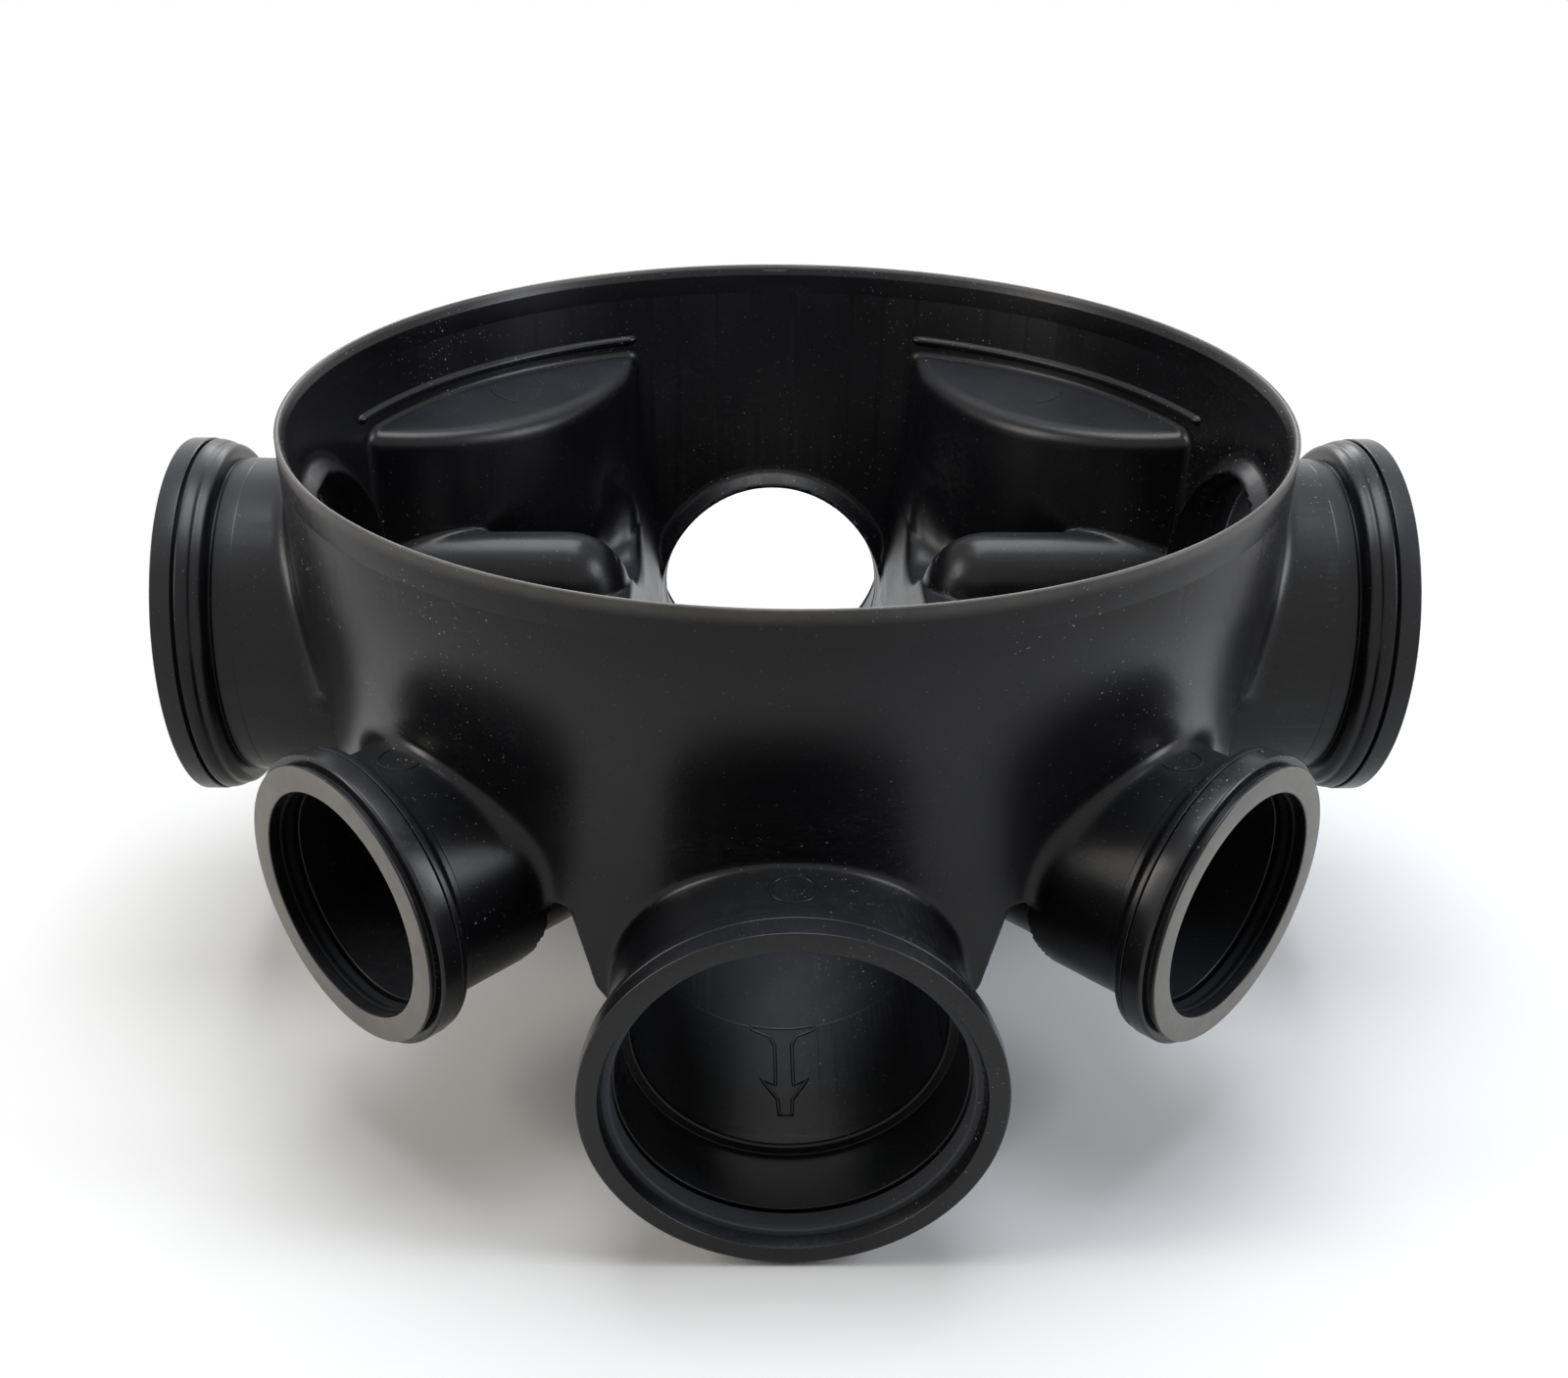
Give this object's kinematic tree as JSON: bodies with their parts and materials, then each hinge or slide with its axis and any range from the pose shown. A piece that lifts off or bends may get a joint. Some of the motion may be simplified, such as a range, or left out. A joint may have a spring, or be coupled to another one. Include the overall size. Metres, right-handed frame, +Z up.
{
  "type": "drain inspection chamber base",
  "caption": "Round drain chamber base moulded with through and side pipe sockets, ring seals and clip-on caps, open rim on top for a riser.",
  "frame": {"origin": "on the ground under the drum's axis, on the flat underside of the feet", "axes": "+Z up along the drum's axis, -Y out of the front (outlet) socket, X along the side inlets"},
  "size_m": [0.65, 0.627, 0.328],
  "materials": {
    "body": "satin",
    "cap": "satin",
    "seal": "matt"
  },
  "bodies": {
    "root": {"chamber_base": "body", "front_seal": "seal", "front_cap": "cap", "back_seal": "seal", "back_cap": "cap", "left_seal": "seal", "left_cap": "cap", "right_seal": "seal", "right_cap": "cap", "front_left_seal": "seal", "front_left_cap": "cap", "front_right_seal": "seal", "front_right_cap": "cap"}
  },
  "joints": []
}
